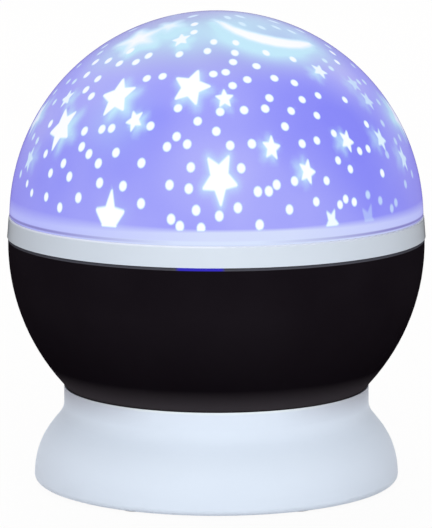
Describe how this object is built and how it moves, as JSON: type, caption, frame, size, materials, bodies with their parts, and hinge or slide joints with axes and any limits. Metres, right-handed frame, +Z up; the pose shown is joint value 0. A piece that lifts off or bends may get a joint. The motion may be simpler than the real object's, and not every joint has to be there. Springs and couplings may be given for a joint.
{
  "type": "projection ball",
  "caption": "Star projector night light: a lit dome with stars over a dark bowl that turns by motor in a flared base, with push buttons and a battery bay.",
  "frame": {"origin": "on the table under the middle of the base, level with the bottoms of the feet", "axes": "+Z up along the ball's turning axis; -Y to the front; +Y to the back, where the buttons are"},
  "size_m": [0.128, 0.128, 0.1451],
  "materials": {
    "dome_glow": "frosted, lit from inside",
    "film_print": "printed film, lit from inside",
    "white_gloss": "smooth moulded",
    "bowl_black": "smooth moulded",
    "plate_white": "fine spark texture",
    "button_white": "smooth moulded",
    "inlet_black": "moulded",
    "foot_rubber": "matte",
    "screw_steel": "zinc plated",
    "nickel": "nickel plated",
    "cell_sleeve": "printed sleeve over metal",
    "board_green": "solder mask",
    "board_white": "solder mask",
    "chip_black": "moulded epoxy",
    "column_white": "moulded",
    "motor_steel": "drawn can",
    "gear_nylon": "natural nylon",
    "slip_white": "slippery sheet",
    "led_clear": "clear epoxy",
    "led_colour": "tinted epoxy",
    "wire_red": "insulation",
    "wire_grey": "insulation"
  },
  "bodies": {
    "base": {"base_shell": "white_gloss", "base_plate": "plate_white", "plate_screws": "screw_steel", "rubber_feet": "foot_rubber", "battery_cells": "cell_sleeve", "battery_contacts": "nickel", "battery_springs": "nickel", "control_board": "board_green", "control_chip": "chip_black", "board_screws": "screw_steel", "tact_switches": "chip_black", "power_jack": "inlet_black", "jack_pin": "nickel", "lamp_column": "column_white", "column_screws": "screw_steel", "gear_motor": "motor_steel", "motor_screws": "screw_steel", "thrust_washer": "slip_white", "led_holder": "column_white", "led_board": "board_white", "white_led": "led_clear", "colour_leds": "led_colour", "lamp_wires": "wire_grey", "motor_wires": "wire_red", "battery_wires": "wire_red"},
    "ball": {"bowl": "bowl_black", "collar_ring": "white_gloss", "star_film": "film_print", "output_gear": "gear_nylon", "gear_screws": "screw_steel"},
    "cover": {"cover_dome": "dome_glow"},
    "pinion": {"drive_pinion": "gear_nylon", "motor_shaft": "motor_steel"},
    "light_button": {"light_button": "button_white"},
    "colour_button": {"colour_button": "button_white"},
    "turn_button": {"turn_button": "button_white"},
    "battery_door": {"battery_door": "plate_white", "door_screw": "screw_steel"}
  },
  "joints": [
    {"name": "ball_turn", "type": "hinge", "parent": "base", "child": "ball", "pos_m": [0, 0, 0.0208], "axis": [0, 0, 1], "continuous": true},
    {"name": "pinion_turn", "type": "hinge", "parent": "base", "child": "pinion", "pos_m": [0.0324, 0, 0.0208], "axis": [0, 0, 1], "continuous": true},
    {"name": "cover_lift", "type": "slide", "parent": "ball", "child": "cover", "axis": [0, 0, 1], "range_m": [0, 0.065]},
    {"name": "door_open", "type": "hinge", "parent": "base", "child": "battery_door", "pos_m": [0.00065, -0.02944, 0.0025], "axis": [-1, 0, 0], "range_deg": [0, 90]},
    {"name": "light_press", "type": "slide", "parent": "base", "child": "light_button", "axis": [0, -1, 0], "range_m": [0, 0.0008], "stiffness_N_per_m": 500, "springref_m": -0.0006},
    {"name": "colour_press", "type": "slide", "parent": "base", "child": "colour_button", "axis": [0, -1, 0], "range_m": [0, 0.0008], "stiffness_N_per_m": 500, "springref_m": -0.0006},
    {"name": "turn_press", "type": "slide", "parent": "base", "child": "turn_button", "axis": [0, -1, 0], "range_m": [0, 0.0008], "stiffness_N_per_m": 500, "springref_m": -0.0006}
  ],
  "couplings": [
    {"joint": "pinion_turn", "follows": "ball_turn", "ratio": -5}
  ]
}
